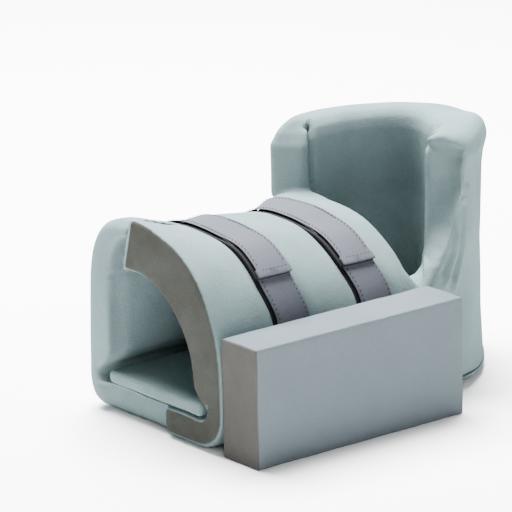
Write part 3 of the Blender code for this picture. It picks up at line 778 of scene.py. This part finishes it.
class StrapPath:
    """The line a strap takes over the shell, between two heights, and places beside and above it."""

    def __init__(self, tree, middle, start, end):
        near = self.angle_at(tree, middle, start, math.radians(NEAR_ANGLE))
        far = self.angle_at(tree, middle, end, math.radians(FAR_ANGLE))
        rows = []
        for k in range(PATH_ROWS + 1):
            angle = near + (far - near) * k / PATH_ROWS
            row = []
            up = shell_hit(tree, middle, angle).z
            lean = middle - STRAP_SHIFT
            if math.cos(angle) < 0:
                lean = float(strap_middle(middle, up))
            for column in range(PATH_COLUMNS + 1):
                beside = (column / PATH_COLUMNS - 0.5) * PATH_SPREAD * STRAP_WIDTH
                row.append(shell_hit(tree, lean + beside, angle))
            rows.append(row)
        self.grid = self.softened(np.array(rows))
        steps = np.linalg.norm(np.diff(self.grid[:, PATH_COLUMNS // 2], axis=0), axis=1)
        self.run = np.concatenate(([0.0], np.cumsum(steps)))
        self.length = self.run[-1]

    def angle_at(self, tree, middle, height, low):
        """The angle at which the shell has a height, between a low angle and the crown's."""
        high = math.radians(CROWN_ANGLE)
        for _ in range(ANGLE_TRIES):
            angle = (low + high) / 2
            if shell_hit(tree, middle, angle).z < height:
                low = angle
            else:
                high = angle
        return low

    def softened(self, grid):
        """Cloth bridges small hollows, so the grid is evened out along and across."""
        for _ in range(PATH_SOFTENING):
            inside = (grid[:-2] + 2 * grid[1:-1] + grid[2:]) / 4
            grid = np.concatenate((grid[:1], inside, grid[-1:]))
            sides = (grid[:, :-2] + 2 * grid[:, 1:-1] + grid[:, 2:]) / 4
            grid = np.concatenate((grid[:, :1], sides, grid[:, -1:]), axis=1)
        return grid

    def on_shell(self, along, beside):
        """The point a length along the path and a length beside its middle."""
        row = float(np.interp(along, self.run, np.arange(len(self.run))))
        column = (beside / (PATH_SPREAD * STRAP_WIDTH) + 0.5) * PATH_COLUMNS
        i = min(max(int(row), 0), PATH_ROWS - 1)
        j = min(max(int(column), 0), PATH_COLUMNS - 1)
        a, b = row - i, column - j
        grid = self.grid
        low = grid[i, j] * (1 - b) + grid[i, j + 1] * b
        high = grid[i + 1, j] * (1 - b) + grid[i + 1, j + 1] * b
        return Vector(low * (1 - a) + high * a)

    def frame_at(self, along, beside):
        """The point, the way along, the way beside and the way out."""
        step = FRAME_STEP
        ahead = self.on_shell(min(along + step, self.length), beside)
        behind = self.on_shell(max(along - step, 0.0), beside)
        way = (ahead - behind).normalized()
        side = (self.on_shell(along, beside + step) - self.on_shell(along, beside - step)).normalized()
        return self.on_shell(along, beside), way, side, side.cross(way).normalized()


def lay_band(name, path, start, end, low, high, lift, thick, round_edge):
    """A flat band on the path: a grid laid on it, given its thickness and rounded edges."""
    rows = max(int((end - start) / BAND_STEP), 4)
    bpy.ops.mesh.primitive_grid_add(x_subdivisions=rows, y_subdivisions=BAND_COLUMNS, size=1.0)
    band = bpy.context.object
    band.name = name
    points = read_points(band)
    for k, (u, w, _) in enumerate(points):
        along = start + (end - start) * (u + 0.5)
        beside = low + (high - low) * (w + 0.5)
        point, _, _, out = path.frame_at(along, beside)
        points[k] = point + out * lift(along)
    write_points(band, points)
    apply_modifier(band, "SOLIDIFY", thickness=thick, offset=1.0)
    only(band)
    bpy.ops.object.mode_set(mode="EDIT")
    bpy.ops.mesh.select_all(action="SELECT")
    bpy.ops.mesh.normals_make_consistent(inside=False)
    bpy.ops.object.mode_set(mode="OBJECT")
    apply_modifier(band, "BEVEL", width=round_edge, segments=2, limit_method="ANGLE")
    set_smooth(band, CLOTH_ANGLE)
    return band


def stitch_rows(name, path, runs, lift):
    """Dashes of thread. Each run is (start along, start beside, end along, end beside)."""
    bpy.ops.mesh.primitive_uv_sphere_add(segments=6, ring_count=4, radius=0.5)
    stitch = bpy.context.object
    stitch.name = name
    stitch.scale = (STITCH_LENGTH, STITCH_WIDE, STITCH_WIDE)
    settle(stitch)
    copies = []
    for start, beside, end, other in runs:
        count = max(int(math.hypot(end - start, other - beside) / STITCH_STEP), 1)
        for k in range(count):
            share = (k + 0.5) / count
            along = start + (end - start) * share
            point, way, side, out = path.frame_at(along, beside + (other - beside) * share)
            run = (way * (end - start) + side * (other - beside)).normalized()
            copy = bpy.data.objects.new(name, stitch.data.copy())
            bpy.context.scene.collection.objects.link(copy)
            turn = Matrix((run, out.cross(run), out)).transposed().to_4x4()
            copy.matrix_world = Matrix.Translation(point + out * lift(along)) @ turn
            copies.append(copy)
    bpy.data.objects.remove(stitch)
    only(copies[0])
    for copy in copies[1:]:
        copy.select_set(True)
    bpy.ops.object.join()
    rows = bpy.context.object
    rows.name = name
    settle(rows)
    return rows


def hem_piece(name, path, lift):
    """The folded end of an upper strap, a little wider than the strap."""
    half = STRAP_WIDTH / 2 + HEM_EAR
    return lay_band(name + "_hem", path, 0.0, HEM_LENGTH, -half, half, lift, HEM_THICK, HEM_ROUND)


def build_strap(name, path, lift, finishes, hemmed):
    """One strap: its thick dark backing, whose knee-side edge sticks out as a band of real black backing and
    painted shadow, its cloth face, its stitches and its hem.
    """
    cloth, backing, thread = finishes
    half = STRAP_WIDTH / 2
    edge = half - STITCH_INSET
    end = path.length - STITCH_INSET

    def on_backing(along):
        return lift(along) + STRAP_BACK

    def on_face(along):
        return lift(along) + STRAP_BACK + STRAP_FACE

    def on_hem(along):
        return on_backing(along) + (HEM_THICK if along < HEM_LENGTH else STRAP_FACE)

    # The backing's knee-side edge sticks out past the face: a dark band of real backing and painted shadow
    under = lay_band(
        name + "_backing", path, 0.0, path.length, -half - BACKING_AND_SHADOW_EDGE, half - STRAP_ROUND, lift,
        STRAP_BACK, STRAP_ROUND,
    )
    face = lay_band(name + "_face", path, 0.0, path.length, -half, half, on_backing, STRAP_FACE, STRAP_ROUND)
    runs = [(STITCH_INSET, edge, end, edge), (STITCH_INSET, -edge, end, -edge)]
    if hemmed:
        start = HEM_LENGTH + STITCH_INSET
        runs = [(start, edge, end, edge), (start, -edge, end, -edge), (HEM_SEAM, -edge, HEM_SEAM, edge)]
        hem = hem_piece(name, path, on_backing)
        dress(hem, cloth, ())
    stitches = stitch_rows(name + "_stitches", path, runs, on_hem if hemmed else on_face)
    dress(under, backing, ())
    dress(face, cloth, (name,))
    dress(stitches, thread, ())
    return face


def build_strap_pair(label, tree, middle, drop, finishes):
    """The landing strap on the near wall, and the strap over the top whose hemmed end lies on it."""
    lower = StrapPath(tree, middle, LOWER_START, UPPER_START - drop + LOWER_OVERLAP)
    upper = StrapPath(tree, middle, UPPER_START - drop, UPPER_END)
    stack = STRAP_BACK + STRAP_FACE + STRAP_LIFT

    def flat(along):
        return STRAP_LIFT

    def over(along):
        past = ramp(along, LOWER_OVERLAP * OVERLAP_HELD, STRAP_STEP_DOWN)
        return STRAP_LIFT + stack * (1 - past)

    landing = build_strap(label + "_strap_lower", lower, flat, finishes, False)
    build_strap(label + "_strap_upper", upper, over, finishes, True)


# Pads and block


def build_sole(frame):
    """The base layer under the upright wall: the part's outline with soft, slightly uneven edges."""
    sole = node_copy(frame, "sole_pad", "sole_layer")
    apply_modifier(sole, "REMESH", mode="VOXEL", voxel_size=SOLE_VOXEL, adaptivity=0.0)
    apply_modifier(sole, "SMOOTH", factor=0.5, iterations=SOLE_SMOOTHING)
    points, normals = read_points(sole), read_normals(sole)
    points += normals * (soft_waves(points) * SOLE_WAVE_SHARE)[:, None]
    write_points(sole, points)
    set_smooth(sole, FOAM_ANGLE)
    return sole


def build_pad(node, name, radius, rounds):
    """A cut foam pad: a block of the node's size with its edges rounded and its faces a little uneven."""
    low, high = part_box(node)
    middle, size = (low + high) / 2, high - low
    bpy.ops.mesh.primitive_cube_add(size=1.0, location=middle)
    pad = bpy.context.object
    pad.name = name
    pad.scale = size
    settle(pad)
    apply_modifier(pad, "BEVEL", width=radius, segments=rounds, limit_method="ANGLE")
    only(pad)
    bpy.ops.object.mode_set(mode="EDIT")
    bpy.ops.mesh.select_all(action="SELECT")
    bpy.ops.mesh.subdivide(number_cuts=PAD_CUTS)
    bpy.ops.object.mode_set(mode="OBJECT")
    points, normals = read_points(pad), read_normals(pad)
    points += normals * (soft_waves(points * PAD_WAVE_SCALE) * PAD_WAVE_SHARE)[:, None]
    write_points(pad, points)
    set_smooth(pad, PAD_ANGLE)
    return pad


def main():
    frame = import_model()
    grain = foam_grain_group()
    foam = foam_material("Foam", grain, FOAM_LIGHT, FOAM_DARK, KNEE_END, FOAM_CUT_AND_SHADE, FOAM_CUT_AND_SHADE_DARK)
    block_foam = foam_material(
        "Block foam", grain, BLOCK_LIGHT, BLOCK_DARK, BLOCK_END, BLOCK_CUT_AND_SHADE, BLOCK_CUT_AND_SHADE_DARK
    )
    cloth = cloth_material("Strap cloth", CLOTH_LIGHT, CLOTH_DARK)
    backing = cloth_material("Strap backing and shadow", BACKING_AND_SHADOW, BACKING_AND_SHADOW_DARK)
    thread = cloth_material("Thread", THREAD, THREAD_DARK)
    shell = build_foam_shell(frame)
    shape_shell(shell)
    set_smooth(shell, FOAM_ANGLE)
    dress(shell, foam, ("leg_wrap", "foot_wall"))
    block = build_pad("rotation_block", "side_block", BLOCK_ROUND, BLOCK_ROUNDS)
    dress(block, block_foam, ("rotation_block",))
    sole = build_sole(frame)
    dress(sole, foam, ("sole_pad",))
    pad = build_pad("elevation_pad", "calf_pad", CALF_PAD_ROUND, CALF_PAD_ROUNDS)
    dress(pad, foam, ("elevation_pad",))
    tree = surface_tree(shell)
    finishes = (cloth, backing, thread)
    build_strap_pair("knee", tree, KNEE_STRAP, 0.0, finishes)
    build_strap_pair("ankle", tree, ANKLE_STRAP, ANKLE_DROP, finishes)
    make_camera()
    make_lights()
    make_floor()


def make_camera():
    bpy.ops.object.camera_add()
    camera = bpy.context.object
    azimuth, elevation = math.radians(CAMERA_AZIMUTH), math.radians(CAMERA_ELEVATION)
    right = Vector((math.cos(azimuth), math.sin(azimuth), 0.0))
    back = Vector(
        (
            math.sin(azimuth) * math.cos(elevation),
            -math.cos(azimuth) * math.cos(elevation),
            math.sin(elevation),
        )
    )
    up = back.cross(right)
    turn = Matrix((right, up, back)).transposed().to_4x4()
    turn = turn @ Matrix.Rotation(-math.radians(CAMERA_ROLL), 4, "Z")
    camera.matrix_world = Matrix.Translation(CAMERA_PLACE) @ turn
    camera.data.sensor_width = SENSOR
    camera.data.sensor_height = SENSOR
    camera.data.sensor_fit = "AUTO"
    camera.data.lens = CAMERA_LENS
    camera.data.clip_end = CAMERA_FAR
    bpy.context.scene.camera = camera


def make_lights():
    for name, place, size, power in LIGHTS:
        bpy.ops.object.light_add(type="AREA", location=place)
        light = bpy.context.object
        light.name = name
        light.data.size = size
        light.data.energy = power
        light.rotation_euler = (Vector(LIGHTS_AIM) - Vector(place)).to_track_quat("-Z", "Y").to_euler()
    world = bpy.data.worlds.new("studio")
    world.use_nodes = True
    set_inputs(world.node_tree.nodes["Background"], Color=SKY, Strength=SKY_STRENGTH)
    bpy.context.scene.world = world


def make_floor():
    bpy.ops.mesh.primitive_plane_add(size=FLOOR_SIZE)
    floor = bpy.context.object
    floor.name = "floor"
    material, _, shader = new_material("Floor")
    set_inputs(shader, Base_Color=FLOOR_COLOR, Roughness=0.9)
    floor.data.materials.append(material)


main()
